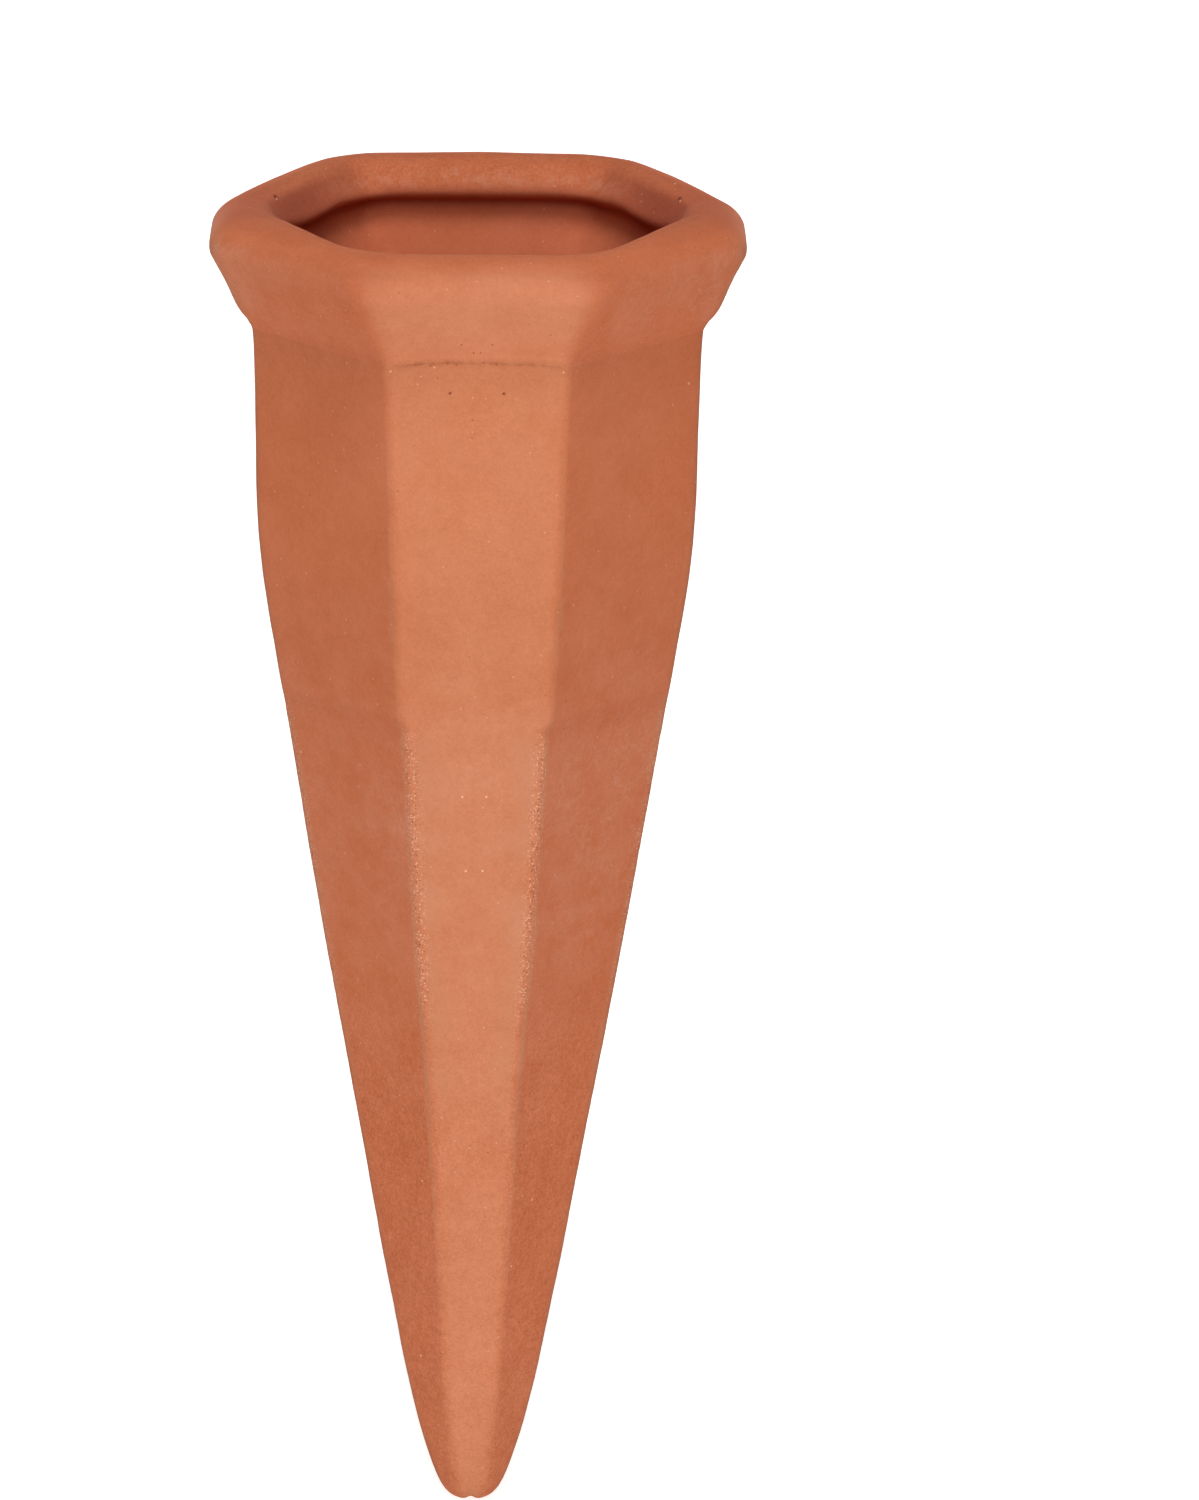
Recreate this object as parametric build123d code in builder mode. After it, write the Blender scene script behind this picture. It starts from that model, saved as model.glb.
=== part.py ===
from build123d import *
import os

# Hollow terracotta watering stake: an eight-sided spike body and a flared,
# eight-sided mouth collar whose tongue sits in a socket at the top of the body.
# Millimetres, +Z up. Origin on the axis at the soil line, the plane of the
# collar's foot. The front facet faces -Y.

# ---------------------------------------------------------------- dimensions
# heights
RIM_Z = 14.0                 # flat land of the lip
THROAT_Z = 9.8               # narrowest part of the funnel
FOOT_Z = 0.0                 # collar foot, on the body's top edge
SEAT_Z = -4.0                # end of the collar's tongue, on the socket's ledge
TIP_Z = -164.65              # tip of the bullet nose

# half widths across flats
LIP_HALF = 35.0              # widest part of the lip
LAND_OUT = 30.8              # flat land, outer edge
LAND_IN = 28.6               # flat land, inner edge
THROAT_HALF = 25.2           # throat
UNDERCUT_HALF = 27.7         # widest part of the hollow behind the in-turned lip
FOOT_HALF = 29.45            # collar at its foot, slightly proud of the body
BODY_HALF = 29.3             # body at its top edge
TONGUE_HALF = 27.2           # tongue outside, and the socket that takes it
TONGUE_IN = 24.7             # tongue inside at its end, and the cavity below it

# corner rounding in plan
BODY_R = 2.2                 # body edges
SOCKET_R = 2.5               # tongue and socket
CAVITY_R = 3.0               # cavity edges
FUNNEL_R = 4.0               # corners of the funnel and of the hollow under it
FRONT_SOFT = 1.5             # how much softer the funnel's two front corners are
LIP_R = 7.0                  # lip corners, pressed softer than the body's

# plans: half lengths of the sides, per unit of half width. The body's four flats
# are a little narrower than a regular octagon's. The lip is drawn out along the
# back, so that its back side is longer than the front. The funnel is longer along
# the front and back than at its ends.
FLAT_P = 0.400                   # plain plan at the joint
FRONT_P, FRONT_Q = 0.425, 0.36   # lip: front side, front half of the left and right sides
BACK_P, BACK_Q = 0.555, 0.10     # lip: back side, back half of the left and right sides
IN_FRONT_P, IN_FRONT_Q = 0.55, 0.12  # funnel: the same as for the front of the lip
IN_BACK_P, IN_BACK_Q = 0.62, 0.14    # funnel: the same as for the back of the lip

# body outside: height, half width across flats, half length of a flat, corner
# radius. The flats narrow in a small step where the taper begins. The edges
# soften towards the bullet nose, which ends nearly round.
BODY_RINGS = [
    (FOOT_Z, BODY_HALF, FLAT_P, BODY_R),
    (-5.5, 29.0, 0.397, BODY_R),
    (-12.0, 28.86, 0.388, BODY_R),
    (-21.0, 28.72, 0.378, BODY_R),
    (-27.0, 28.46, 0.374, BODY_R),
    (-32.5, 27.98, 0.371, BODY_R),
    (-38.0, 27.24, 0.374, BODY_R),
    (-43.5, 26.36, 0.380, BODY_R),
    (-48.9, 25.5, 0.385, BODY_R),
    (-50.7, 25.2, 0.352, BODY_R),
    (-80.0, 20.4, 0.352, BODY_R),
    (-92.0, 18.35, 0.337, BODY_R),
    (-104.0, 16.26, 0.332, BODY_R),
    (-112.0, 14.87, 0.335, BODY_R),
    (-122.2, 13.1, 0.350, BODY_R),
    (-133.7, 11.04, 0.366, BODY_R),
    (-139.5, 9.95, 0.380, 2.05),
    (-145.3, 8.85, 0.394, 2.0),
    (-151.0, 7.6, 0.398, 2.25),
    (-156.6, 6.18, 0.404, 2.8),
    (-160.4, 4.95, 0.408, 2.7),
    (-162.6, 4.0, 0.410, 2.3),
    (-163.9, 2.95, 0.412, 1.8),
    (TIP_Z, 1.2, 0.412, 0.8),
]

# cavity: height, half width across flats, corner radius
CAVITY_RINGS = [
    (SEAT_Z, TONGUE_IN, CAVITY_R),
    (-22.0, 24.0, CAVITY_R),
    (-34.0, 22.9, CAVITY_R),
    (-49.0, 20.6, CAVITY_R),
    (-132.0, 6.2, 1.6),
    (-146.0, 3.4, 0.9),
    (-150.0, 1.6, 0.4),
]

# collar outside: height, half width, share of the lip's plan (0 body, 1 lip)
COLLAR_RINGS = [
    (FOOT_Z, FOOT_HALF, 0.0),
    (0.9, 29.65, 0.0),
    (2.0, 30.4, 0.1),
    (4.0, 31.85, 0.38),
    (6.0, 33.05, 0.62),
    (8.0, 34.2, 0.85),
    (9.2, 34.75, 0.95),
    (10.4, LIP_HALF, 1.0),
    (11.8, 34.5, 1.0),
    (12.8, 33.6, 1.0),
    (13.6, 32.3, 1.0),
    (RIM_Z, LAND_OUT, 1.0),
]

# funnel inside the lip: height, half width, share of the lip's plan, share of the
# funnel's own plan
FUNNEL_RINGS = [
    (RIM_Z, LAND_IN, 1.0, 0.75),
    (13.3, 27.5, 1.0, 0.9),
    (12.6, 26.9, 0.96, 1.0),
    (11.3, 25.95, 0.87, 1.0),
    (10.3, 25.35, 0.79, 1.0),
    (THROAT_Z, THROAT_HALF, 0.76, 1.0),
]

# hollow behind the in-turned lip, and the inside of the tongue: height, half
# width, share of the funnel's plan
HOLLOW_RINGS = [
    (THROAT_Z, THROAT_HALF, 0.76),
    (9.2, 25.4, 0.73),
    (8.7, 26.0, 0.72),
    (8.3, 27.2, 0.71),
    (7.6, UNDERCUT_HALF, 0.69),
    (5.5, 27.25, 0.59),
    (3.4, 26.5, 0.43),
    (1.0, 25.6, 0.20),
    (-0.2, 25.25, 0.10),
    (-2.8, 24.8, 0.0),
    (SEAT_Z, TONGUE_IN, 0.0),
]


def octagon(half, side=FLAT_P, share=0.0, inner=0.0):
    """Corner points of an eight-sided plan: the plain one at share 0, the lip's at share 1."""
    front_p = FRONT_P + inner * (IN_FRONT_P - FRONT_P)
    front_q = FRONT_Q + inner * (IN_FRONT_Q - FRONT_Q)
    back_p = BACK_P + inner * (IN_BACK_P - BACK_P)
    back_q = BACK_Q + inner * (IN_BACK_Q - BACK_Q)
    fp = half * (side + share * (front_p - side))
    fq = half * (side + share * (front_q - side))
    bp = half * (side + share * (back_p - side))
    bq = half * (side + share * (back_q - side))
    return [
        (fp, -half), (half, -fq), (half, bq), (bp, half),
        (-bp, half), (-half, bq), (-half, -fq), (-fp, -half),
    ]


def round_funnel(sketch, share, inner):
    """Rounds a funnel plan's corners, the two at the front the most."""
    r = CAVITY_R + share * (FUNNEL_R - CAVITY_R)
    fillet(sketch.vertices().sort_by(Axis.Y)[2:], r)
    fillet(sketch.vertices().sort_by(Axis.Y)[:2], r * (1 + FRONT_SOFT * share * inner))


os.makedirs("parts", exist_ok=True)

# ---------------------------------------------------------------- spike body
with BuildPart() as spike_body:
    # eight flat sides: nearly upright at the top, a soft bend, then a long taper
    for z, half, side, r in BODY_RINGS:
        with BuildSketch(Plane.XY.offset(z)) as section:
            with BuildLine():
                Polyline(*octagon(half, side), close=True)
            make_face()
            fillet(section.vertices(), r)
    loft(ruled=True)
    # socket that takes the collar's tongue
    with BuildSketch(Plane.XY.offset(SEAT_Z)) as socket:
        with BuildLine():
            Polyline(*octagon(TONGUE_HALF), close=True)
        make_face()
        fillet(socket.vertices(), SOCKET_R)
    extrude(amount=FOOT_Z - SEAT_Z, mode=Mode.SUBTRACT)
    # water cavity
    for z, half, r in CAVITY_RINGS:
        with BuildSketch(Plane.XY.offset(z)) as bore:
            with BuildLine():
                Polyline(*octagon(half), close=True)
            make_face()
            fillet(bore.vertices(), r)
    loft(ruled=True, mode=Mode.SUBTRACT)

spike_body.part.label = "spike_body"
export_step(spike_body.part, "parts/spike_body.step")

# ------------------------------------------------------------- funnel collar
with BuildPart() as funnel_collar:
    # flared outside, from the eight sides of the body to the soft lip
    for z, half, share in COLLAR_RINGS:
        with BuildSketch(Plane.XY.offset(z)) as flare:
            with BuildLine():
                Polyline(*octagon(half, share=share), close=True)
            make_face()
            fillet(flare.vertices(), BODY_R + share * (LIP_R - BODY_R))
    loft(ruled=True)
    # tongue that reaches down into the body's socket
    with BuildSketch(Plane.XY.offset(SEAT_Z)) as tongue:
        with BuildLine():
            Polyline(*octagon(TONGUE_HALF), close=True)
        make_face()
        fillet(tongue.vertices(), SOCKET_R)
    extrude(amount=FOOT_Z - SEAT_Z)
    # hollow behind the in-turned lip, down through the tongue
    for z, half, share in HOLLOW_RINGS:
        with BuildSketch(Plane.XY.offset(z)) as hollow:
            with BuildLine():
                Polyline(*octagon(half, share=share, inner=1.0), close=True)
            make_face()
            round_funnel(hollow, share, 1.0)
    loft(ruled=True, mode=Mode.SUBTRACT)
    # funnel down to the throat
    for z, half, share, inner in FUNNEL_RINGS:
        with BuildSketch(Plane.XY.offset(z)) as funnel:
            with BuildLine():
                Polyline(*octagon(half, share=share, inner=inner), close=True)
            make_face()
            round_funnel(funnel, share, inner)
    loft(ruled=True, mode=Mode.SUBTRACT)

funnel_collar.part.label = "funnel_collar"
export_step(funnel_collar.part, "parts/funnel_collar.step")

print("spike_body volume", round(spike_body.part.volume, 1), "valid", spike_body.part.is_valid)
print("funnel_collar volume", round(funnel_collar.part.volume, 1), "valid", funnel_collar.part.is_valid)
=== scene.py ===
import math

import bpy
import numpy as np
from mathutils import Matrix, Vector


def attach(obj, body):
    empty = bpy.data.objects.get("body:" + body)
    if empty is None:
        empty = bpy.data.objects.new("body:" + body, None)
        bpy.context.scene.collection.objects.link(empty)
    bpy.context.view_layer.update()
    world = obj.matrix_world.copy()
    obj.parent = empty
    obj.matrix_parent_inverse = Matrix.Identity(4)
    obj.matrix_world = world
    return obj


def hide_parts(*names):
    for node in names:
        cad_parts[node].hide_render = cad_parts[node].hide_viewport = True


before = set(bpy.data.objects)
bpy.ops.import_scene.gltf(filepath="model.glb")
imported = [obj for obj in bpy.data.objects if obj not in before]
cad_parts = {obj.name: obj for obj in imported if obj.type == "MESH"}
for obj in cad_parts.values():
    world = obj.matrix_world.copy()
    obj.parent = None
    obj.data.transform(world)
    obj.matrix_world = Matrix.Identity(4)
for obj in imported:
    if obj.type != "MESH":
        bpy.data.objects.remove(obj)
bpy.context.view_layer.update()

# A hollow terracotta watering stake: an eight-sided spike body and a flared mouth
# collar whose tongue sits in a socket at the body's top. Shapes below are in millimetres, and become
# metres when a mesh is written. The front facet faces -Y, the soil line is z = 0.

MM = 0.001
OCT = math.tan(math.radians(22.5))
TIP_Z = -164.65

# ------------------------------------------------------------------ small tools


def make_noise(seed):
    rng = np.random.default_rng(seed)
    perm = rng.permutation(256)
    perm = np.concatenate([perm, perm, perm])
    grad = rng.normal(size=(256, 3))
    grad /= np.linalg.norm(grad, axis=1)[:, None]
    return perm, grad


PERM, GRAD = make_noise(20)


def perlin(p, size, seed=0.0):
    """Smooth gradient noise of points p, about -0.7 to 0.7, with features of that size in mm."""
    q = np.asarray(p, float) / size + np.array([seed * 7.31, seed * 3.17, seed * 5.53])
    cell = np.floor(q).astype(int)
    f = q - cell
    w = f * f * f * (f * (f * 6 - 15) + 10)
    total = 0.0
    for dx in (0, 1):
        for dy in (0, 1):
            for dz in (0, 1):
                i = (cell + np.array([dx, dy, dz])) & 255
                g = GRAD[PERM[PERM[PERM[i[..., 0]] + i[..., 1]] + i[..., 2]]]
                d = (g * (f - np.array([dx, dy, dz]))).sum(-1)
                k = (w[..., 0] if dx else 1 - w[..., 0]) * (w[..., 1] if dy else 1 - w[..., 1])
                total = total + d * k * (w[..., 2] if dz else 1 - w[..., 2])
    return total


def smooth(lo, hi, x):
    t = np.clip((np.asarray(x, float) - lo) / (hi - lo), 0, 1)
    return t * t * (3 - 2 * t)


def pchip(xs, ys, x):
    """Monotone cubic through (xs, ys), with xs rising."""
    xs, ys, x = np.asarray(xs, float), np.asarray(ys, float), np.asarray(x, float)
    h = np.diff(xs)
    d = np.diff(ys) / h
    m = np.zeros(len(xs))
    m[0], m[-1] = d[0], d[-1]
    for i in range(1, len(xs) - 1):
        if d[i - 1] * d[i] > 0:
            w1, w2 = 2 * h[i] + h[i - 1], h[i] + 2 * h[i - 1]
            m[i] = (w1 + w2) / (w1 / d[i - 1] + w2 / d[i])
    k = np.clip(np.searchsorted(xs, x, side="right") - 1, 0, len(h) - 1)
    t = (x - xs[k]) / h[k]
    return (
        (2 * t**3 - 3 * t**2 + 1) * ys[k]
        + (t**3 - 2 * t**2 + t) * h[k] * m[k]
        + (-2 * t**3 + 3 * t**2) * ys[k + 1]
        + (t**3 - t**2) * h[k] * m[k + 1]
    )


def catmull(points, step):
    """Points about a step apart on a smooth line through the given points."""
    p = np.asarray(points, float)
    p = np.vstack([2 * p[0] - p[1], p, 2 * p[-1] - p[-2]])
    out = []
    for i in range(1, len(p) - 2):
        a, b, c, d = p[i - 1], p[i], p[i + 1], p[i + 2]
        n = max(1, round(np.linalg.norm((c - b)[:2]) / step))
        t0 = 0.0
        t1 = t0 + math.sqrt(max(1e-9, np.linalg.norm((b - a)[:2])))
        t2 = t1 + math.sqrt(max(1e-9, np.linalg.norm((c - b)[:2])))
        t3 = t2 + math.sqrt(max(1e-9, np.linalg.norm((d - c)[:2])))
        for t in np.linspace(t1, t2, n, endpoint=False):
            e1 = (t1 - t) / (t1 - t0) * a + (t - t0) / (t1 - t0) * b
            e2 = (t2 - t) / (t2 - t1) * b + (t - t1) / (t2 - t1) * c
            e3 = (t3 - t) / (t3 - t2) * c + (t - t2) / (t3 - t2) * d
            f1 = (t2 - t) / (t2 - t0) * e1 + (t - t0) / (t2 - t0) * e2
            f2 = (t3 - t) / (t3 - t1) * e2 + (t - t1) / (t3 - t1) * e3
            out.append((t2 - t) / (t2 - t1) * f1 + (t - t1) / (t2 - t1) * f2)
    out.append(p[-2])
    return np.array(out)


# ---------------------------------------------------------------- plan of a ring
# Half lengths of the lip's sides, per unit of half width. The clay is drawn out a
# little along the back, so that side is longer than the front.
FRONT_P, FRONT_Q = 0.425, 0.36
BACK_P, BACK_Q = 0.555, 0.10
IN_P, IN_Q = 0.62, 0.14      # the same for the funnel inside the lip, at the back and at the front
IN_FRONT_P, IN_FRONT_Q = 0.55, 0.12
FOOT_P = 0.400               # sides of the plain eight-sided plan at the joint
NC, NF = 9, 25               # points on a corner arc, and on a flat between two arcs
PIN_HOLES = [(-3.52, -4.63), (3.36, -4.62)]  # two in the front flat, just under the collar: x, z
# single pores and pale grains at the joint, on the front
PORES = [
    (-2.08, -30.52, 2.18), (1.88, -30.55, 2.22), (-0.54, -29.59, 0.92), (0.35, -29.59, 0.93), (-2.71, -29.23, -0.75),
    (2.41, -29.23, -0.72), (-3.86, -29.24, -0.62), (0.74, -29.26, -0.46), (-6.03, -29.22, -0.91),
]
GRAINS = [(-11.15, -29.15, -1.75), (10.99, -29.15, -1.73), (-5.52, -29.19, -1.17)]
COLS = 8 * (NC + NF)
EVEN = np.linspace(0, 1, NF + 2)[1:-1]
# places along the front flat, closer together round the pin holes
FRONT = np.sort(np.concatenate(
    [np.linspace(0, 1, NF - 8)[1:-1]] + [0.5 + (x + np.array([-0.36, -0.17, 0.0, 0.17, 0.36])) / 21.06 for x, z in PIN_HOLES]))


def octagon(half, share, side, inner):
    back_p = BACK_P + inner * (IN_P - BACK_P)
    back_q = BACK_Q + inner * (IN_Q - BACK_Q)
    front_p = FRONT_P + inner * (IN_FRONT_P - FRONT_P)
    front_q = FRONT_Q + inner * (IN_FRONT_Q - FRONT_Q)
    fp = half * (side + share * (front_p - side))
    fq = half * (side + share * (front_q - side))
    bp = half * (side + share * (back_p - side))
    bq = half * (side + share * (back_q - side))
    return np.array([
        (fp, -half), (half, -fq), (half, bq), (bp, half),
        (-bp, half), (-half, bq), (-half, -fq), (-fp, -half),
    ])


def ring(half, share, radii, side=FOOT_P, inner=0.0):
    """A rounded eight-sided ring as COLS points, and each point's distance to the nearest corner."""
    v = octagon(half, share, side, inner)
    arcs = []
    for i in range(8):
        a, b, c = v[i - 1], v[i], v[(i + 1) % 8]
        la, lc = np.linalg.norm(a - b), np.linalg.norm(c - b)
        u, w = (a - b) / la, (c - b) / lc
        ang = math.acos(np.clip(u @ w, -1, 1))
        t = min(radii[i] / math.tan(ang / 2), 0.47 * min(la, lc))
        r = t * math.tan(ang / 2)
        mid = (u + w) / np.linalg.norm(u + w)
        centre = b + mid * r / math.sin(ang / 2)
        n0, n1 = b + u * t - centre, b + w * t - centre
        a0, a1 = math.atan2(n0[1], n0[0]), math.atan2(n1[1], n1[0])
        if a1 < a0:
            a1 += 2 * math.pi
        th = np.linspace(a0, a1, NC)
        pts = centre + r * np.stack([np.cos(th), np.sin(th)], 1)
        arcs.append((pts, np.abs(th - (a0 + a1) / 2) * r))
    xy, dist = [], []
    for i in range(8):
        pts, s = arcs[i]
        nxt, s2 = arcs[(i + 1) % 8]
        k = FRONT if i == 7 else EVEN
        flat = pts[-1] + (nxt[0] - pts[-1]) * k[:, None]
        run = np.linalg.norm(nxt[0] - pts[-1])
        xy += [pts, flat]
        dist += [s, np.minimum(s[-1] + k * run, s2[0] + (1 - k) * run)]
    return np.concatenate(xy), np.concatenate(dist)


def grid_normals(g, wrap):
    """Outward unit normals of a grid of rings. Rings run upwards on the outside."""
    du = np.roll(g, -1, 1) - np.roll(g, 1, 1)
    if wrap:
        dv = np.roll(g, -1, 0) - np.roll(g, 1, 0)
    else:
        dv = np.gradient(g, axis=0)
    n = np.cross(du, dv)
    return n / np.maximum(np.linalg.norm(n, axis=-1, keepdims=True), 1e-9)


def grid_faces(rings, cols, wrap):
    r = np.arange(rings if wrap else rings - 1)
    c = np.arange(cols)
    rr, cc = np.meshgrid(r, c, indexing="ij")
    r2, c2 = (rr + 1) % rings, (cc + 1) % cols
    return np.stack(
        [rr * cols + cc, rr * cols + c2, r2 * cols + c2, r2 * cols + cc], -1
    ).reshape(-1, 4)


def new_mesh(name, verts, faces, layers, sharp_rings=()):
    me = bpy.data.meshes.new(name)
    me.from_pydata((np.asarray(verts) * MM).tolist(), [], [list(map(int, f)) for f in faces])
    me.polygons.foreach_set("use_smooth", np.ones(len(me.polygons), bool))
    for key, values in layers.items():
        at = me.attributes.new(key, "FLOAT", "POINT")
        at.data.foreach_set("value", np.asarray(values, np.float32))
    me.validate()
    me.update()
    ends = np.zeros(len(me.edges) * 2, np.int32)
    me.edges.foreach_get("vertices", ends)
    ends = ends.reshape(-1, 2) // COLS
    hard = (ends[:, 0] == ends[:, 1]) & np.isin(ends[:, 0], sharp_rings)
    me.attributes.new("sharp_edge", "BOOLEAN", "EDGE").data.foreach_set("value", hard)
    ob = bpy.data.objects.new(name, me)
    bpy.context.scene.collection.objects.link(ob)
    return ob


def crease(p):
    """How open the joint under the collar is, 0 to 1: a faint line across the front and back facets, rubbed shut on the others."""
    x, y = np.abs(p[..., 0]), p[..., 1]
    broken = np.clip(0.72 + 0.9 * perlin(p, 3.0, 3), 0, 1)
    return smooth(12.4, 7.5, x) * np.where(y < 0, 1.0, 0.8) * broken


def joint_wave(p):
    """The joint isn't quite level: its height wanders by a few tenths."""
    flat = p.copy()
    flat[..., 2] = 0
    a = np.degrees(np.arctan2(np.abs(p[..., 0]), -p[..., 1]))
    droop = pchip([-1, 0, 12, 22.5, 45, 67.5, 90, 112, 135, 157, 170, 181], [-0.5, -0.5, -0.65, -1.1, -0.8, -0.25, 0.0, -0.2, -0.5, -0.8, -0.5, -0.4], a)
    return droop + 0.16 * perlin(flat, 7.0, 5) + 0.14 * perlin(flat, 2.6, 6)


def body_relief(p):
    """Hand-pressed clay: long waves, then dents."""
    return 0.13 * perlin(p, 44, 1) + 0.08 * perlin(p, 15, 2) + 0.035 * perlin(p, 5.6, 4)


def flats(p, s):
    """1 on the four flats that face front, back, left and right, 0 on the four diagonal sides."""
    a = np.degrees(np.arctan2(p[..., 1], p[..., 0]))
    off = np.abs((a + 45.0) % 90.0 - 45.0)
    return smooth(-1.5, 1.5, np.where(off < 22.0, 1.0, -1.0) * s)


def corner_radii(r, z, amount):
    spots = np.stack([np.full(8, z), np.arange(8) * 37.0, np.zeros(8)], 1)
    return r * (1 + amount * perlin(spots, 13.0, 2))


# -------------------------------------------------------------------- spike body
BODY_PROFILE = [  # height, half width across flats, corner radius
    (0.0, 29.30, 2.3), (-1.5, 29.16, 2.3), (-5.5, 29.00, 2.4), (-10.8, 28.88, 2.5), (-16.2, 28.78, 2.5),
    (-21.6, 28.71, 2.5), (-27.0, 28.46, 2.4), (-32.5, 27.98, 2.2), (-38.0, 27.24, 2.1),
    (-43.5, 26.36, 2.1), (-49.0, 25.48, 2.1), (-52.0, 24.97, 1.8), (-80.0, 20.40, 1.8), (-122.25, 13.10, 2.4), (-128.0, 12.12, 2.5),
    (-133.75, 11.04, 2.2), (-139.5, 9.95, 2.05), (-145.3, 8.85, 2.0), (-151.0, 7.60, 2.25),
    (-153.8, 6.94, 2.6), (-156.6, 6.18, 3.05), (-159.4, 5.32, 3.5), (-161.2, 4.66, 3.65), (-162.5, 4.06, 3.55),
    (-163.4, 3.46, 3.2), (-164.0, 2.82, 2.65), (-164.38, 2.05, 1.94), (-164.58, 1.20, 1.14), (TIP_Z, 0.35, 0.33),
]
# half length of a side, per unit of half width: the four flats narrow in a small step
# where the taper begins, and the diagonal sides between them widen
BODY_SIDE = [
    (0.0, FOOT_P), (-6.0, 0.397), (-12.0, 0.388), (-20.0, 0.378), (-35.0, 0.370), (-42.0, 0.379), (-48.9, 0.385),
    (-50.7, 0.352), (-84.0, 0.351), (-92.0, 0.337), (-104.0, 0.332), (-112.0, 0.335), (-121.0, 0.349), (-131.0, 0.362), (-146.0, 0.395), (TIP_Z, 0.412),
]


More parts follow.
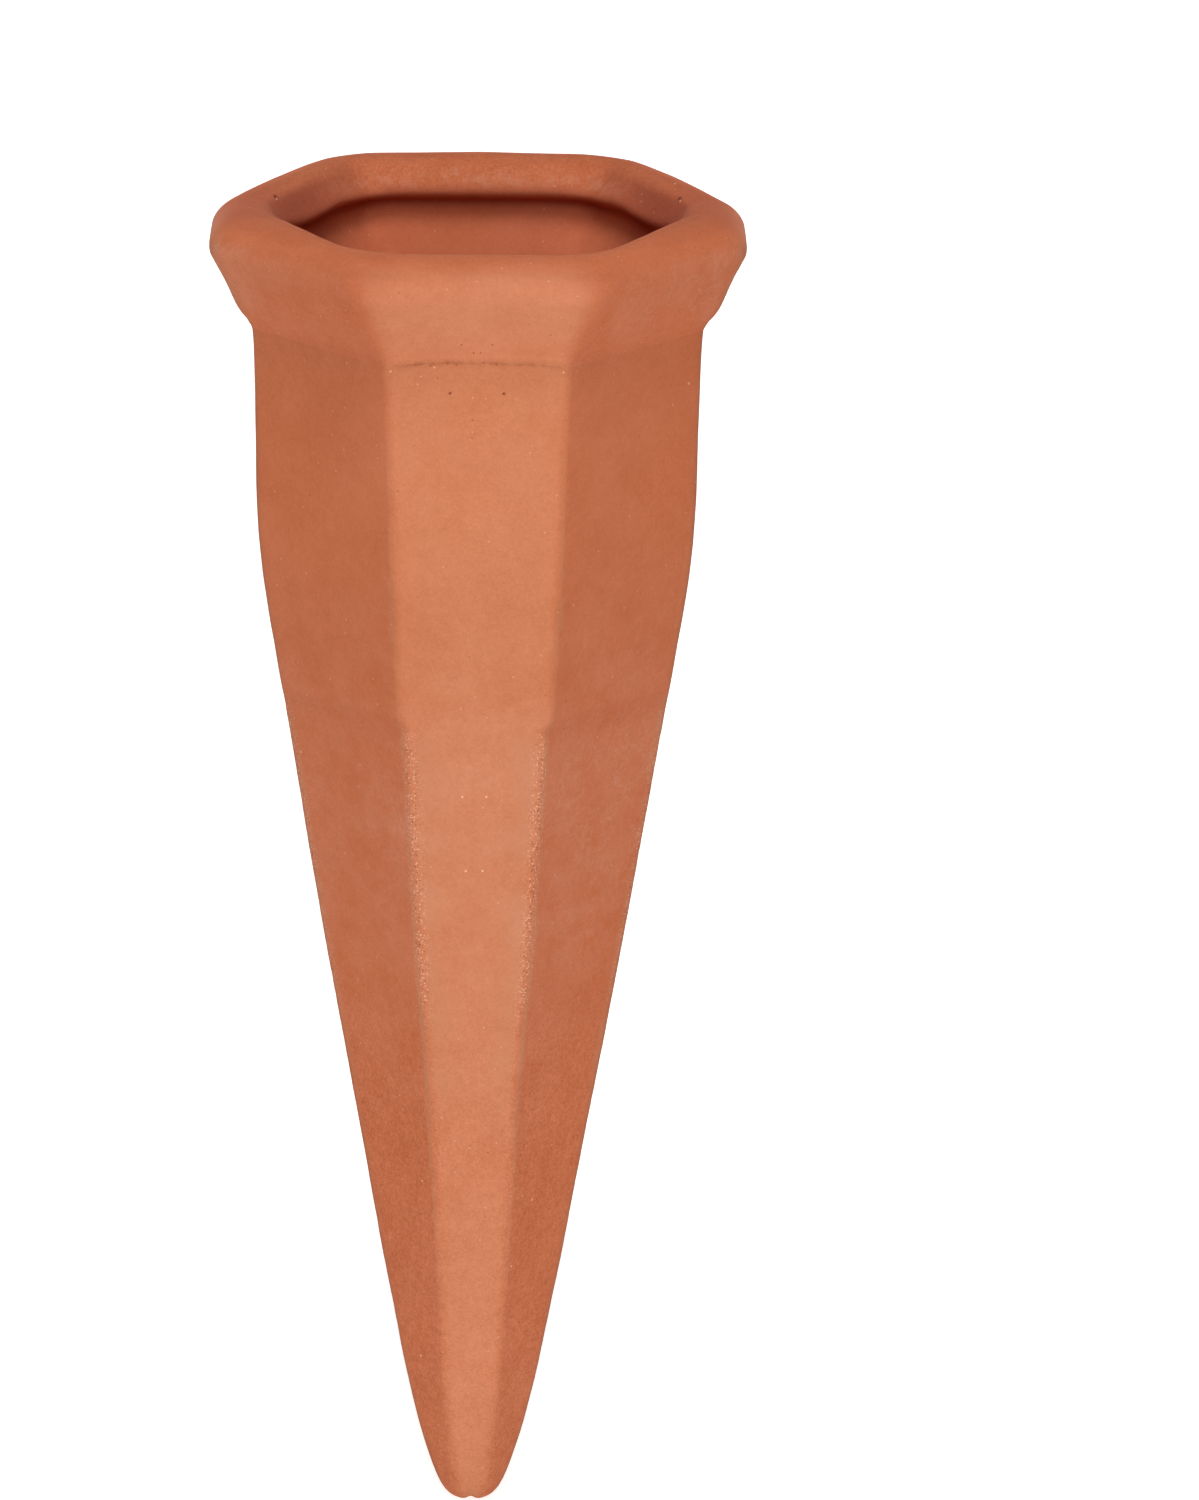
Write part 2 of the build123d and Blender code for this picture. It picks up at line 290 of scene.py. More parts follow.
def build_body():
    prof = np.array(BODY_PROFILE)[::-1]
    zs = np.concatenate([
        TIP_Z + np.array([0.0, 0.03, 0.08, 0.15, 0.25, 0.38, 0.55, 0.75, 1.0, 1.35, 1.8, 2.35, 3.0]),
        np.arange(TIP_Z + 3.7, -52.4, 0.78), np.arange(-52.0, -47.9, 0.5), np.arange(-47.3, -5.6, 0.78),
        [-5.3, -5.05, -4.87, -4.74, -4.62, -4.5, -4.37, -4.2, -3.9, -3.5, -3.0, -2.5, -2.0, -1.6, -1.25, -0.95, -0.7, -0.5, -0.36, -0.26, -0.18, -0.11, -0.05, 0.0],
    ])
    half = pchip(prof[:, 0], prof[:, 1], zs)
    rad = pchip(prof[:, 0], prof[:, 2], zs)
    plan = np.array(BODY_SIDE)[::-1]
    side = pchip(plan[:, 0], plan[:, 1], zs)
    grid, dist, kind = [], [], []
    for z, h, r, b in zip(zs, half, rad, side):
        xy, s = ring(h, 0.0, corner_radii(r, z, 0.25 * smooth(-158, -150, z)), b)
        grid.append(np.column_stack([xy, np.full(COLS, z)]))
        dist.append(s)
        kind.append(1.0)
    # top of the wall, and the socket inside it that takes the collar's tongue
    hidden = [
        (29.0, 0.0, 2.0), (28.4, 0.0, 2.1), (27.36, 0.0, 2.4), (27.27, -0.06, 2.5), (27.25, -0.3, 2.5), (27.25, -2.0, 2.5),
        (27.25, -3.8, 2.5), (27.22, -3.97, 2.5), (27.0, -4.0, 2.6), (26.0, -4.0, 2.8), (24.72, -4.0, 3.0), (24.68, -4.015, 3.0), (24.66, -4.08, 3.0),
    ]
    # water cavity
    cav_z = np.concatenate([[-4.8, -6.2], np.arange(-8, -48.0, -3.0), np.arange(-49, -132, -4.0), [-132, -137, -142, -146, -148.5, -149.6, -150]])
    cp = np.array([(-4.0, 24.67, 3.0), (-8, 24.4, 3.0), (-22, 24.0, 3.0), (-34, 22.9, 3.0), (-49, 20.6, 3.0),
                   (-132, 6.2, 1.6), (-146, 3.4, 0.9), (-149, 1.9, 0.7), (-150, 0.3, 0.2)])[::-1]
    ch, cr = pchip(cp[:, 0], cp[:, 1], cav_z), pchip(cp[:, 0], cp[:, 2], cav_z)
    for h, z, r in hidden:
        xy, s = ring(h, 0.0, np.full(8, r))
        grid.append(np.column_stack([xy, np.full(COLS, z)]))
        dist.append(np.full(COLS, 99.0))
        kind.append(0.0)
    for h, z, r in zip(ch, cav_z, cr):
        xy, s = ring(h, 0.0, np.full(8, r))
        grid.append(np.column_stack([xy, np.full(COLS, z)]))
        dist.append(np.full(COLS, 99.0))
        kind.append(0.45)
    g, s, kind = np.array(grid), np.array(dist), np.array(kind)[:, None]
    n = grid_normals(g, False)
    n[len(zs) - 1] = n[len(zs) - 3]
    z = g[..., 2]
    outer = kind == 1.0
    low = smooth(-35, -75, z)
    edge = np.exp(-((s / 1.3) ** 2)) * outer
    sandy = smooth(-49.5, -52.5, z) * (0.10 + 0.90 * smooth(-97, -84, z))
    d = body_relief(g) + (0.010 + 0.014 * low) * perlin(g, 1.8, 7) * smooth(0, -1.5, z)
    d *= kind * np.where(outer, smooth(TIP_Z, TIP_Z + 8, z) * 0.8 + 0.2, smooth(-4.1, -9, z))
    # rubbed and chipped edges, more so down the taper
    chip = smooth(0.10, 0.5, perlin(g, 1.7, 11)) * (0.02 + 0.07 * sandy) + smooth(0.2, 0.5, perlin(g, 5.0, 12)) * 0.05
    d -= chip * edge * smooth(-150, -140, z)
    # open joint under the collar
    gap = crease(g)
    d -= outer * 0.10 * gap * np.exp(-np.abs(z) / 0.24)
    # pin holes
    pit = sum(np.exp(-(((g[..., 0] - px) ** 2 + (z - pz) ** 2) / 0.21**2)) for px, pz in PIN_HOLES) * outer * (g[..., 1] < 0)
    d -= 0.26 * pit
    g = g + n * d[..., None]
    # slight pinch mark across the tip
    tip = outer * smooth(TIP_Z + 2.2, TIP_Z, z)
    g[..., 2] += tip * 0.46 * np.exp(-((g[..., 0] / 0.62) ** 2))
    g[..., 2] += joint_wave(g) * np.exp(-((g[..., 2] / 3.0) ** 2)) * (kind >= 0)
    rings = len(g)
    first = len(zs) - 1
    hard_rings = [first, first + 3, first + 9, first + 11]
    verts = np.concatenate([g.reshape(-1, 3), [g[0].mean(0), g[-1].mean(0)]])
    faces = list(grid_faces(rings, COLS, False))
    c = np.arange(COLS)
    a, b = rings * COLS, rings * COLS + 1
    faces += [(a, (i + 1) % COLS, i) for i in c]
    base = (rings - 1) * COLS
    faces += [(b, base + i, base + (i + 1) % COLS) for i in c]
    pad = lambda v: np.concatenate([np.broadcast_to(v, (rings, COLS)).reshape(-1), [0.0, 0.0]])
    shut = outer * gap * np.exp(-np.abs(z) / 0.24)
    level = flats(g, s)
    sideways = smooth(1.0, 1.6, np.abs(g[..., 0]) / np.maximum(np.abs(g[..., 1]), 1e-6))
    border = outer * smooth(0.55, 0.95, level) * np.exp(-((s / 2.8) ** 2)) * smooth(-49.5, -53, z) * smooth(-112, -96, z)
    return new_mesh("spike_shell", verts, faces, {
        "edge": pad(np.exp(-((s / 0.85) ** 2)) * outer * sandy),
        "scuff": pad(0.0),
        "dust": pad(outer * 0.8 * np.exp(-((z + 66) / 24) ** 2)),
        # paler front and back flats, the side flats half as much: partly pale dust, partly painted light
        "pale_dust_and_painted_light": pad(outer * level * (1 - 0.5 * sideways)),
        # painted shade along the open joint under the collar
        "joint_shade": pad(shut),
        "border": pad(border),
        # painted shade: the upper body made a little darker
        "upper": pad(outer * smooth(-52, -44, z)),
        "painted_shade": pad(0.0),
        "painted_underlip_shade": pad(0.0),
        # painted light: the socket and cavity inside the wall made lighter
        "bright": pad(0.55 * (kind < 1.0)),
        "gritty": pad(outer * smooth(-80, -108, z) * (1.0 - 0.62 * level)),
    }, sharp_rings=hard_rings)


# ----------------------------------------------------------------- funnel collar
# Cross-section of the collar: half width, height, share of the lip's plan, corner
# radius. It runs from the foot up the flare, over the lip, down the funnel to the
# throat, back under the in-turned lip, and down the inside of the tongue.
COLLAR_PATH = [
    (29.30, 0.0, 0.0, 2.3), (29.31, 0.06, 0.0, 2.3), (29.34, 0.2, 0.0, 2.4), (29.44, 0.55, 0.0, 2.7), (29.66, 1.1, 0.02, 3.1),
    (30.38, 2.0, 0.1, 3.7), (31.16, 3.0, 0.24, 4.3), (31.84, 4.0, 0.38, 4.9), (32.44, 5.0, 0.5, 5.4),
    (33.02, 6.0, 0.62, 5.9), (33.58, 7.0, 0.75, 6.4), (34.14, 8.0, 0.85, 6.8), (34.58, 9.0, 0.93, 7.2),
    (34.82, 10.0, 0.98, 7.4), (34.80, 10.9, 1.0, 7.4), (34.42, 11.85, 1.0, 7.4), (33.66, 12.75, 1.0, 7.2),
    (32.6, 13.46, 1.0, 6.9), (31.4, 13.86, 1.0, 6.6), (30.2, 13.99, 1.0, 6.2), (29.2, 13.96, 1.0, 5.6), (28.3, 13.74, 1.0, 5.0),
    (27.5, 13.28, 1.0, 4.5), (26.9, 12.65, 0.96, 4.2), (26.4, 11.95, 0.92, 4.0), (25.95, 11.3, 0.87, 4.0), (25.57, 10.75, 0.83, 4.0), (25.30, 10.28, 0.79, 4.0),
    (25.18, 9.84, 0.76, 4.0), (25.25, 9.40, 0.74, 4.0), (25.50, 9.03, 0.73, 4.0), (25.92, 8.76, 0.72, 4.0), (26.42, 8.58, 0.71, 4.0), (27.0, 8.42, 0.71, 4.0),
    (27.38, 8.22, 0.71, 4.0), (27.60, 7.82, 0.70, 4.0), (27.66, 7.2, 0.68, 4.0), (27.56, 6.5, 0.645, 4.0), (27.26, 5.5, 0.59, 3.9), (26.9, 4.5, 0.52, 3.8),
    (26.5, 3.4, 0.43, 3.6), (26.05, 2.2, 0.32, 3.4), (25.62, 1.0, 0.20, 3.2), (25.25, -0.2, 0.10, 3.1), (24.95, -1.5, 0.04, 3.0), (24.76, -2.8, 0.0, 3.0),
    (24.68, -3.8, 0.0, 3.0), (24.67, -3.96, 0.0, 3.0),
]
# end and outside of the tongue, and the foot
COLLAR_SEAT = [
    (24.70, -3.99, 0.0, 3.0), (25.4, -3.99, 0.0, 2.9), (27.0, -3.99, 0.0, 2.6), (27.17, -3.95, 0.0, 2.5), (27.20, -3.8, 0.0, 2.5),
    (27.20, -2.0, 0.0, 2.5), (27.20, -0.12, 0.0, 2.5), (27.28, -0.02, 0.0, 2.4), (28.5, 0.01, 0.0, 2.1), (29.1, 0.01, 0.0, 1.95),
]


def lip_wave(xy):
    """How far the soft lip is bent up or down, by direction from the front: pressed down a little along the front."""
    a = np.degrees(np.arctan2(np.abs(xy[..., 0]), -xy[..., 1]))
    return pchip(
        [-1, 0, 25, 40, 55, 68, 82, 95, 107, 120, 135, 150, 166, 181],
        [-0.3, -0.3, -0.35, -0.38, -0.20, -0.05, 0.0, -0.10, 0.12, 0.30, 0.28, 0.02, 0.10, 0.24],
        a,
    )


def throat_wave(xy):
    """The same for the throat: a little higher along the back."""
    a = np.degrees(np.arctan2(np.abs(xy[..., 0]), -xy[..., 1]))
    return pchip(
        [-1, 0, 100, 112, 124, 135, 143, 151, 158, 166, 181],
        [0.0, 0.0, 0.0, -0.40, -0.11, 0.37, 0.13, -0.07, 0.20, 0.24, 0.28],
        a,
    )


def build_collar():
    path = np.vstack([catmull(COLLAR_PATH, 0.31), COLLAR_SEAT])
    shown = np.concatenate([np.ones(len(path) - len(COLLAR_SEAT)), np.zeros(len(COLLAR_SEAT))])
    grid, dist = [], []
    widest, throat = np.argmax(path[:, 0]), np.argmin(np.where(path[:, 1] > 9.0, path[:, 0], 99.0))
    for i, (h, z, share, r) in enumerate(path):
        inner = 0.0 if i < widest else 1.0 if i > throat else min(1.0, max(0.0, (34.5 - h) / 7.9))
        soft = 1 + share * (0.55 * (1 - inner) * np.array([0, 0, 0, 1, 1, 0, 0, 0]) + (1.5 * inner + 0.28 * (1 - inner) * smooth(8.5, 11.0, z)) * np.array([1, 0, 0, 0, 0, 0, 0, 1]))
        xy, s = ring(h, share, soft * corner_radii(r, z, 0.25 - 0.10 * smooth(0, 4, z)), FOOT_P, inner)
        grid.append(np.column_stack([xy, np.full(COLS, z)]))
        dist.append(s)
    g, s = np.array(grid), np.array(dist)
    shown = shown[:, None]
    n = grid_normals(g, True)
    n[0] = n[2]
    z = g[..., 2]
    k = np.arange(len(g))[:, None]
    top = np.argmax(path[:, 1])
    outside = (k < top) * shown
    inner = (k > top) * shown
    own = 0.20 * perlin(g, 26, 21) + 0.10 * perlin(g, 9.5, 22) + 0.04 * perlin(g, 4.2, 23) + 0.012 * perlin(g, 1.6, 24)
    rise = smooth(0.0, 4.0, z)
    d = outside * (body_relief(g) * (1 - rise) + own * rise) + (1 - outside) * own * shown * smooth(-3.5, 2.0, z)
    gap = crease(g)
    d -= outside * 0.10 * gap * np.exp(-np.abs(z) / 0.24)
    d += outside * 0.05 * gap * np.exp(-((z - 0.7) / 0.5) ** 2)
    g = g + n * d[..., None]
    # the flare starts fuller round the sides than in front, and the lip's outer edge is tighter along the front
    a = np.degrees(np.arctan2(np.abs(g[..., 0]), -g[..., 1]))
    fuller = pchip([-4, 0, 0.3, 1.0, 1.8, 2.6, 3.4, 4.5, 5.7, 7.3, 8.6, 9.6, 15], [0.05, 0.05, 0.14, 0.36, 0.46, 0.38, 0.22, 0.02, -0.13, -0.20, -0.15, 0.0, 0.0], z)
    g[..., :2] *= (1 + outside * fuller * smooth(50, 72, a) / 31.0)[..., None]
    g[..., 2] += outside * 0.5 * np.exp(-(((z - 10.8) / 1.7) ** 2)) * smooth(75, 35, a)
    sink = inner * smooth(13.4, 10.2, z)
    g[..., 2] += (lip_wave(g) * (1 - sink) + throat_wave(g) * sink) * smooth(3.5, 10.0, z) * shown
    g[..., 2] += joint_wave(g) * np.exp(-((z / 3.0) ** 2))
    faces = grid_faces(len(g), COLS, True)
    flat = lambda v: np.broadcast_to(v, g.shape[:2]).reshape(-1)
    behind = inner * smooth(115, 145, a)
    scuff = behind * (0.7 * np.exp(-(((z - 11.2) / 0.9) ** 2)) + 0.9 * np.exp(-(((np.abs(g[..., 0]) - 3.0) / 1.1) ** 2) - ((z - 12.1) / 0.7) ** 2))
    ends = smooth(50, 85, a) * smooth(175, 120, a)
    # painted shade on the lip's outer edge near the front corners
    lip_edge = 0.34 * np.exp(-(((a - 22) / 5.0) ** 2) - ((z - 11.4) / 1.6) ** 2) + 0.13 * smooth(28, 10, a) * np.exp(-(((z - 11.2) / 0.8) ** 2))
    # painted light on the collar's front, low down near the foot
    front = smooth(27, 18, a) * smooth(9.8, 8.2, z) * smooth(0.1, 1.0, z) * (0.37 + 0.30 * smooth(4.2, 2.0, z))
    return new_mesh("collar_shell", g.reshape(-1, 3), faces, {
        "edge": flat(0.0),
        "scuff": flat(np.clip(scuff, 0, 1)),
        "dust": flat(outside * (0.18 + 0.40 * smooth(24, 42, a) + 0.80 * ends) * smooth(0.5, 3.0, z) * smooth(12.6, 10.4, z)),
        # paler flats on the collar's outside: partly pale dust, partly painted light
        "pale_dust_and_painted_light": flat(outside * flats(g, s) * smooth(13.9, 11.4, z)),
        # painted shade along the open joint at the collar's foot
        "joint_shade": flat(outside * gap * np.exp(-np.abs(z) / 0.24)),
        "border": flat(0.0),
        "upper": flat(0.0),
        # painted shade on the funnel's steep corners, parts of the lip and the lip's outer edge
        "painted_shade": flat(np.clip(inner * smooth(13.6, 12.3, z) * smooth(86, 95, a) * smooth(160, 114, a) + 0.22 * shown * smooth(12.6, 13.5, z) * smooth(35, 65, a) + 0.32 * shown * smooth(11.4, 12.8, z) * smooth(62, 80, a) * smooth(118, 100, a) + 0.40 * inner * smooth(11.5, 10.0, z) * smooth(140, 160, a) + outside * lip_edge, 0, 1)),
        # painted shade under the in-turned lip
        "painted_underlip_shade": flat(inner * smooth(9.6, 8.7, z) * smooth(6.7, 8.0, z)),
        "gritty": flat(0.8 * inner * smooth(9.6, 10.6, z)),
        # painted light: the collar's flare, its front near the foot and the wall under the throat made lighter
        "bright": flat(0.40 * outside * smooth(-0.2, 4.5, z) * (1 - 0.95 * np.exp(-(((z - 11.0) / 1.3) ** 2))) + outside * front + 0.55 * inner * smooth(8.2, 7.0, z)),
    }, sharp_rings=[0, len(path) - len(COLLAR_SEAT) - 1, len(path) - 8, len(path) - 3])


# --------------------------------------------------------------------- terracotta


def terracotta():
    mat = bpy.data.materials.new("terracotta")
    mat.use_nodes = True
    nt = mat.node_tree
    nt.nodes.clear()
    link = nt.links.new

    def node(kind, **values):
        nd = nt.nodes.new(kind)
        for key, v in values.items():
            setattr(nd, key, v)
        return nd

    def noise(scale, detail=2.0, rough=0.5, offset=0.0):
        mp = node("ShaderNodeMapping")
        mp.inputs["Scale"].default_value = (scale * 1000,) * 3
        mp.inputs["Location"].default_value = (offset, offset * 0.7, offset * 1.3)
        link(coord.outputs["Object"], mp.inputs["Vector"])
        nz = node("ShaderNodeTexNoise")
        nz.inputs["Scale"].default_value = 1.0
        nz.inputs["Detail"].default_value = detail
        nz.inputs["Roughness"].default_value = rough
        link(mp.outputs["Vector"], nz.inputs["Vector"])
        return nz.outputs["Fac"]

    def ramp(src, lo, hi, a=0.0, b=1.0):
        mr = node("ShaderNodeMapRange", interpolation_type="SMOOTHSTEP")
        mr.inputs["From Min"].default_value = lo
        mr.inputs["From Max"].default_value = hi
        mr.inputs["To Min"].default_value = a
        mr.inputs["To Max"].default_value = b
        link(src, mr.inputs["Value"])
        return mr.outputs["Result"]

    def math_(op, a, b):
        m = node("ShaderNodeMath", operation=op)
        for sock, v in zip(m.inputs, (a, b)):
            if isinstance(v, (int, float)):
                sock.default_value = v
            else:
                link(v, sock)
        return m.outputs[0]

    def mix(fac, a, b, blend="MIX"):
        m = node("ShaderNodeMix", data_type="RGBA", blend_type=blend)
        for sock, v in ((m.inputs[0], fac), (m.inputs[6], a), (m.inputs[7], b)):
            if isinstance(v, (int, float)):
                sock.default_value = v
            elif isinstance(v, tuple):
                sock.default_value = (*v, 1.0)
            else:
                link(v, sock)
        return m.outputs[2]

    def specks(scale, size, share, offset):
        """Spots of about that size in mm, in that share of the cells of a grid with that scale."""
        mp = node("ShaderNodeMapping")
        mp.inputs["Scale"].default_value = (scale * 1000,) * 3
        mp.inputs["Location"].default_value = (offset, offset * 1.9, offset * 0.6)
        link(coord.outputs["Object"], mp.inputs["Vector"])
        vo = node("ShaderNodeTexVoronoi", feature="F1")
        vo.inputs["Scale"].default_value = 1.0
        link(mp.outputs["Vector"], vo.inputs["Vector"])
        spot = ramp(vo.outputs["Distance"], size * scale, size * scale * 0.45)
        sep = node("ShaderNodeSeparateColor")
        link(vo.outputs["Color"], sep.inputs["Color"])
        chosen = math_("GREATER_THAN", sep.outputs["Red"], 1 - share)
        return math_("MULTIPLY", spot, chosen)

    def spot_at(x, y, z, radius, depth=0.1):
        """One spot round a point, all in mm. It reaches deeper in y where depth is small."""
        mp = node("ShaderNodeMapping")
        mp.inputs["Scale"].default_value = (1000.0, 1000.0 * depth, 1000.0)
        mp.inputs["Location"].default_value = (-x, -depth * y, -z)
        link(coord.outputs["Object"], mp.inputs["Vector"])
        far = node("ShaderNodeVectorMath", operation="LENGTH")
        link(mp.outputs["Vector"], far.inputs[0])
        return ramp(far.outputs["Value"], radius, radius * 0.4)

    def attribute(name):
        at = node("ShaderNodeAttribute", attribute_type="GEOMETRY", attribute_name=name)
        return at.outputs["Fac"]

    def total(*terms):
        """Sum of noises, each centred on 0 and scaled."""
        out = None
        for src, k in terms:
            t = math_("MULTIPLY", math_("SUBTRACT", src, 0.5), k)
            out = t if out is None else math_("ADD", out, t)
        return out

    def tone(src, r, g, b):
        """The colour (1 + r * src, 1 + g * src, 1 + b * src)."""
        c = node("ShaderNodeCombineColor")
        for sock, k in zip(c.inputs, (r, g, b)):
            link(math_("ADD", math_("MULTIPLY", src, k), 1.0), sock)
        return c.outputs[0]

    coord = node("ShaderNodeTexCoord")
    cloud = noise(0.030, 3.0, 0.55, 3.1)
    hue = noise(0.045, 3.0, 0.5, 6.4)
    patch = noise(0.16, 4.0, 0.6, 8.7)
    fine = noise(0.75, 3.0, 0.6, 1.3)
    grain = noise(2.1, 2.0, 0.55, 5.9)
    sand = noise(4.6, 1.0, 0.5, 2.2)
    edge, dust, pale_dust_and_painted_light, joint_shade, scuff = (attribute(k) for k in ("edge", "dust", "pale_dust_and_painted_light", "joint_shade", "scuff"))
    border, upper, painted_shade, painted_underlip_shade, painted_light_lift, gritty = (attribute(k) for k in ("border", "upper", "painted_shade", "painted_underlip_shade", "bright", "gritty"))

    # flats facing front, back and sides made paler than the diagonal sides: partly pale dust, partly painted light
    base = mix(pale_dust_and_painted_light, (0.695, 0.199, 0.0890), (0.688, 0.2365, 0.1140))
    # painted shade: the upper body a little darker
    base = mix(upper, base, mix(1.0, base, (0.965, 0.972, 0.948), "MULTIPLY"))
    # painted light: lighter where the bright attribute is set
    base = mix(painted_light_lift, base, mix(1.0, base, (1.130, 1.130, 1.145), "MULTIPLY"))
    # orange and pinker clouds, a dusty bloom, then mottling that goes paler or deeper
    base = mix(1.0, base, tone(total((hue, 1.0)), 0.02, 0.12, 0.32), "MULTIPLY")
    # one side fired a touch redder
    place = node("ShaderNodeSeparateXYZ")
    link(coord.outputs["Object"], place.inputs[0])
    base = mix(ramp(place.outputs["X"], 0.004, 0.026), base, mix(1.0, base, (0.992, 0.955, 0.925), "MULTIPLY"))
    bloom = math_("MULTIPLY", dust, ramp(patch, 0.30, 0.66))
    base = mix(math_("MULTIPLY", bloom, 0.30), base, (0.690, 0.285, 0.172))
    # thin pale wisps where the dust was wiped
    wisp = ramp(math_("ABSOLUTE", math_("SUBTRACT", noise(0.20, 4.0, 0.6, 15.2), 0.5), 0.0), 0.035, 0.0)
    wisp = math_("MULTIPLY", math_("MULTIPLY", wisp, dust), ramp(cloud, 0.38, 0.60))
    base = mix(math_("MULTIPLY", wisp, 0.32), base, (0.740, 0.325, 0.205))
    mottle = total((cloud, 0.14), (patch, 0.20), (fine, 0.15), (grain, 0.14), (sand, 0.16))
    mottle = math_("ADD", mottle, math_("MULTIPLY", gritty, total((fine, 0.16), (grain, 0.22), (sand, 0.22))))
    base = mix(1.0, base, tone(mottle, 0.85, 1.5, 2.1), "MULTIPLY")
    rubbed = math_("MULTIPLY", scuff, ramp(noise(0.55, 4.0, 0.65, 11.0), 0.44, 0.66))
    base = mix(math_("MULTIPLY", rubbed, 0.50), base, (0.790, 0.375, 0.225))
    base = mix(math_("MULTIPLY", border, ramp(patch, 0.25, 0.65, 0.10, 0.50)), base, (0.640, 0.270, 0.150))
    # painted shade: darker on the funnel's steep corners, on parts of the lip and under the in-turned lip
    base = mix(math_("MULTIPLY", painted_shade, 0.68), base, (0.430, 0.098, 0.058))
    base = mix(math_("MULTIPLY", painted_underlip_shade, 0.60), base, (0.420, 0.152, 0.094))
    # sandy edges: bright and dark grains side by side
    bright = specks(2.7, 0.15, 0.72, 21.0)
    base = mix(math_("MULTIPLY", math_("MULTIPLY", edge, bright), 1.0), base, (0.960, 0.540, 0.350))
    deep = specks(2.4, 0.16, 0.60, 33.0)
    base = mix(math_("MULTIPLY", math_("MULTIPLY", edge, deep), 0.85), base, (0.360, 0.095, 0.042))
    worn = math_("MULTIPLY", edge, ramp(fine, 0.40, 0.65))
    base = mix(math_("MULTIPLY", worn, 0.22), base, (0.780, 0.360, 0.215))
    # grog: cream grains, and small dark pores
    cream = specks(0.55, 0.17, 0.45, 4.0)
    base = mix(math_("MULTIPLY", cream, 0.55), base, (0.860, 0.480, 0.300))
    big = specks(0.14, 0.24, 0.30, 9.0)
    base = mix(math_("MULTIPLY", big, 0.60), base, (0.880, 0.560, 0.360))
    dark = specks(0.42, 0.17, 0.40, 13.0)
    base = mix(math_("MULTIPLY", dark, 0.50), base, (0.330, 0.088, 0.038))
    peppered = specks(0.75, 0.20, 0.32, 45.0)
    base = mix(math_("MULTIPLY", math_("MULTIPLY", peppered, gritty), 0.62), base, (0.380, 0.098, 0.040))
    chaff = specks(0.34, 0.20, 0.34, 51.0)
    base = mix(math_("MULTIPLY", math_("MULTIPLY", chaff, gritty), 0.75), base, (0.950, 0.600, 0.400))
    # painted shade along the open joint line, broken up by noise
    line = math_("MULTIPLY", joint_shade, ramp(noise(1.3, 2.0, 0.6, 7.7), 0.36, 0.62, 0.25, 1.0))
    base = mix(math_("MULTIPLY", line, 0.78), base, (0.370, 0.100, 0.042))
    # single grains and holes that stand out on the front flat
    for x, y, z in ((-1.64, -23.71, -59.81), (1.48, -23.71, -59.78), (-1.15, -21.99, -70.33), (1.04, -21.99, -70.31)):
        base = mix(math_("MULTIPLY", spot_at(x, y, z, 0.21), 0.80), base, (0.950, 0.600, 0.410))
    for x, y, z in GRAINS:
        base = mix(math_("MULTIPLY", spot_at(x, y, z, 0.20), 0.70), base, (0.900, 0.480, 0.300))
    for x, y, z in PORES:
        base = mix(math_("MULTIPLY", spot_at(x, y, z, 0.19), 0.60), base, (0.300, 0.075, 0.030))
    for x, z in PIN_HOLES:
        base = mix(math_("MULTIPLY", spot_at(x, -29.0, z, 0.25), 0.78), base, (0.210, 0.040, 0.013))
    # a chipped pit and a pale grain in each end of the funnel
    for x, y, z in ((-26.62, 5.73, 13.37), (26.32, 6.41, 13.29)):
        base = mix(math_("MULTIPLY", spot_at(x, y, z, 0.42, 0.6), 0.75), base, (0.190, 0.040, 0.022))
    for x, y, z in ((-26.45, 5.54, 13.10), (26.39, 5.94, 13.12), (25.80, 11.60, 14.20)):
        base = mix(math_("MULTIPLY", spot_at(x, y, z, 0.22, 0.6), 0.75), base, (0.900, 0.470, 0.320))

    bsdf = node("ShaderNodeBsdfPrincipled")
    out = node("ShaderNodeOutputMaterial")
    link(base, bsdf.inputs["Base Color"])
    link(ramp(fine, 0.25, 0.75, 0.84, 0.95), bsdf.inputs["Roughness"])
    bsdf.inputs["Specular IOR Level"].default_value = 0.12
    height = math_("MULTIPLY", grain, 0.55)
    height = math_("ADD", height, math_("MULTIPLY", sand, 0.30))
    height = math_("ADD", height, math_("MULTIPLY", fine, 0.5))
    height = math_("ADD", height, math_("MULTIPLY", cream, 0.35))
    height = math_("SUBTRACT", height, math_("MULTIPLY", dark, 0.9))
    bump = node("ShaderNodeBump")
    bump.inputs["Strength"].default_value = 0.35
    bump.inputs["Distance"].default_value = 0.00012
    link(height, bump.inputs["Height"])
    link(bump.outputs["Normal"], bsdf.inputs["Normal"])
    link(bsdf.outputs["BSDF"], out.inputs["Surface"])
    return mat


clay = terracotta()
body = build_body()
collar = build_collar()
for piece, cad_node in ((body, "spike_body"), (collar, "funnel_collar")):
    piece.data.materials.append(clay)
    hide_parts(cad_node)
    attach(piece, "root")

# -------------------------------------------------------------- floor, light, view
FLOOR = TIP_Z * MM
me = bpy.data.meshes.new("floor")
me.from_pydata([(-6, -6, FLOOR), (6, -6, FLOOR), (6, 8, FLOOR), (-6, 8, FLOOR)], [], [(0, 1, 2, 3)])
floor = bpy.data.objects.new("floor", me)
bpy.context.scene.collection.objects.link(floor)
white = bpy.data.materials.new("floor_white")
white.use_nodes = True
p = white.node_tree.nodes["Principled BSDF"]
p.inputs["Base Color"].default_value = (0.90, 0.90, 0.90, 1)
p.inputs["Roughness"].default_value = 1.0
p.inputs["Specular IOR Level"].default_value = 0.0
p.inputs["Emission Color"].default_value = (1, 1, 1, 1)
p.inputs["Emission Strength"].default_value = 0.80
me.materials.append(white)
floor.visible_diffuse = False
floor.visible_glossy = False
floor.visible_shadow = False


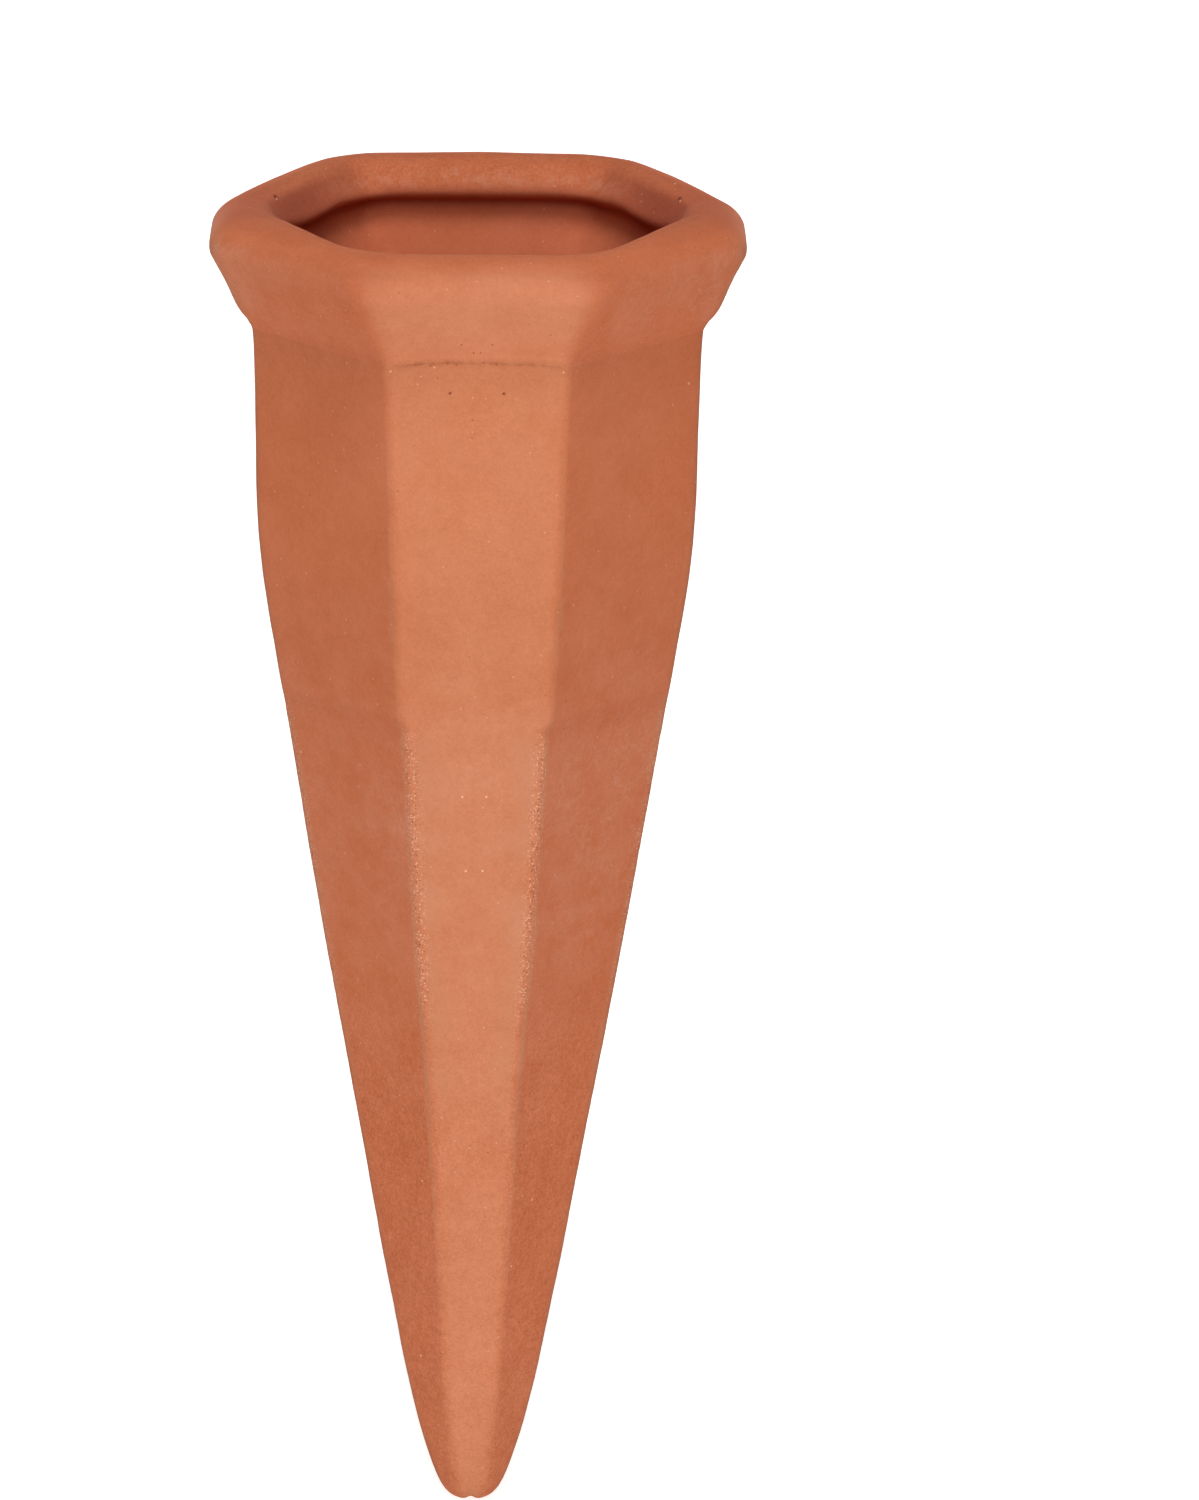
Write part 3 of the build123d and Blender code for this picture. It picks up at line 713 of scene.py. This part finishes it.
def area(name, azimuth, elevation, distance, size, power, colour=(1, 1, 1)):
    """A soft round light, placed round the middle of the object like the camera is."""
    la = bpy.data.lights.new(name, "AREA")
    la.shape = "DISK"
    la.size = size
    la.energy = power
    la.color = colour
    ob = bpy.data.objects.new(name, la)
    a, e = math.radians(azimuth), math.radians(elevation)
    back = Vector((math.sin(a) * math.cos(e), -math.cos(a) * math.cos(e), math.sin(e)))
    ob.location = Vector((0, 0, -0.05)) + back * distance
    ob.rotation_euler = (-back).to_track_quat("-Z", "Y").to_euler()
    bpy.context.scene.collection.objects.link(ob)
    return ob


area("bounce", 0, -45, 2.0, 0.9, 20.6)
area("front_low", 0, -12, 2.0, 0.9, 9.2)
area("front_high", 0, 35, 2.0, 0.9, 8.0)
area("top", 0, 65, 2.0, 0.9, 18.8)
area("upper", 0, 55, 2.0, 0.9, 1.2)
for side, name in ((-1, "left"), (1, "right")):
    area("key_" + name, 30 * side, 40, 2.0, 0.9, 0.6)
    area("side_" + name, 90 * side, -20, 2.0, 0.9, 0.4)
    area("fill_" + name, 127 * side, -4, 2.0, 0.9, 15.5)
    area("rear_" + name, 158 * side, 6, 2.0, 0.9, 7.5)

world = bpy.data.worlds.new("studio")
bpy.context.scene.world = world
world.use_nodes = True
world.node_tree.nodes["Background"].inputs["Color"].default_value = (1, 1, 1, 1)
world.node_tree.nodes["Background"].inputs["Strength"].default_value = 0.03

# camera, for an image of 1199 x 1500 pixels
W, H = 1199, 1500
ELEVATION, DISTANCE = 12.4, 1.300
FOCAL = 9958.0               # pixels
RIM_AT = (475.1, 203.5)      # where the middle of the rim plane falls in the image
ROLL = 0.375
e = math.radians(ELEVATION)
target = Vector((0, 0, 14.0 * MM))
back = Vector((0, -math.cos(e), math.sin(e)))
right, up = Vector((1, 0, 0)), Vector((0, math.sin(e), math.cos(e)))
px, py = (RIM_AT[0] - W / 2) / FOCAL, (H / 2 - RIM_AT[1]) / FOCAL
look = Matrix((right, up, back)).transposed()
# turn the view so that the target falls at (px, py)
to = Vector((px, py, -1)).normalized()
turn = to.rotation_difference(Vector((0, 0, -1))).to_matrix()
roll = Matrix.Rotation(math.radians(ROLL), 3, "Z")
cam = bpy.data.cameras.new("camera")
cam.sensor_fit = "AUTO"
cam.sensor_width = 36.0
cam.lens = 36.0 * FOCAL / H
cam.clip_start, cam.clip_end = 0.05, 50
camera = bpy.data.objects.new("camera", cam)
camera.matrix_world = Matrix.Translation(target + back * DISTANCE) @ (look @ turn @ roll).to_4x4()
bpy.context.scene.collection.objects.link(camera)
bpy.context.scene.camera = camera
bpy.context.scene.view_settings.view_transform = "Standard"
bpy.context.scene.view_settings.look = "None"
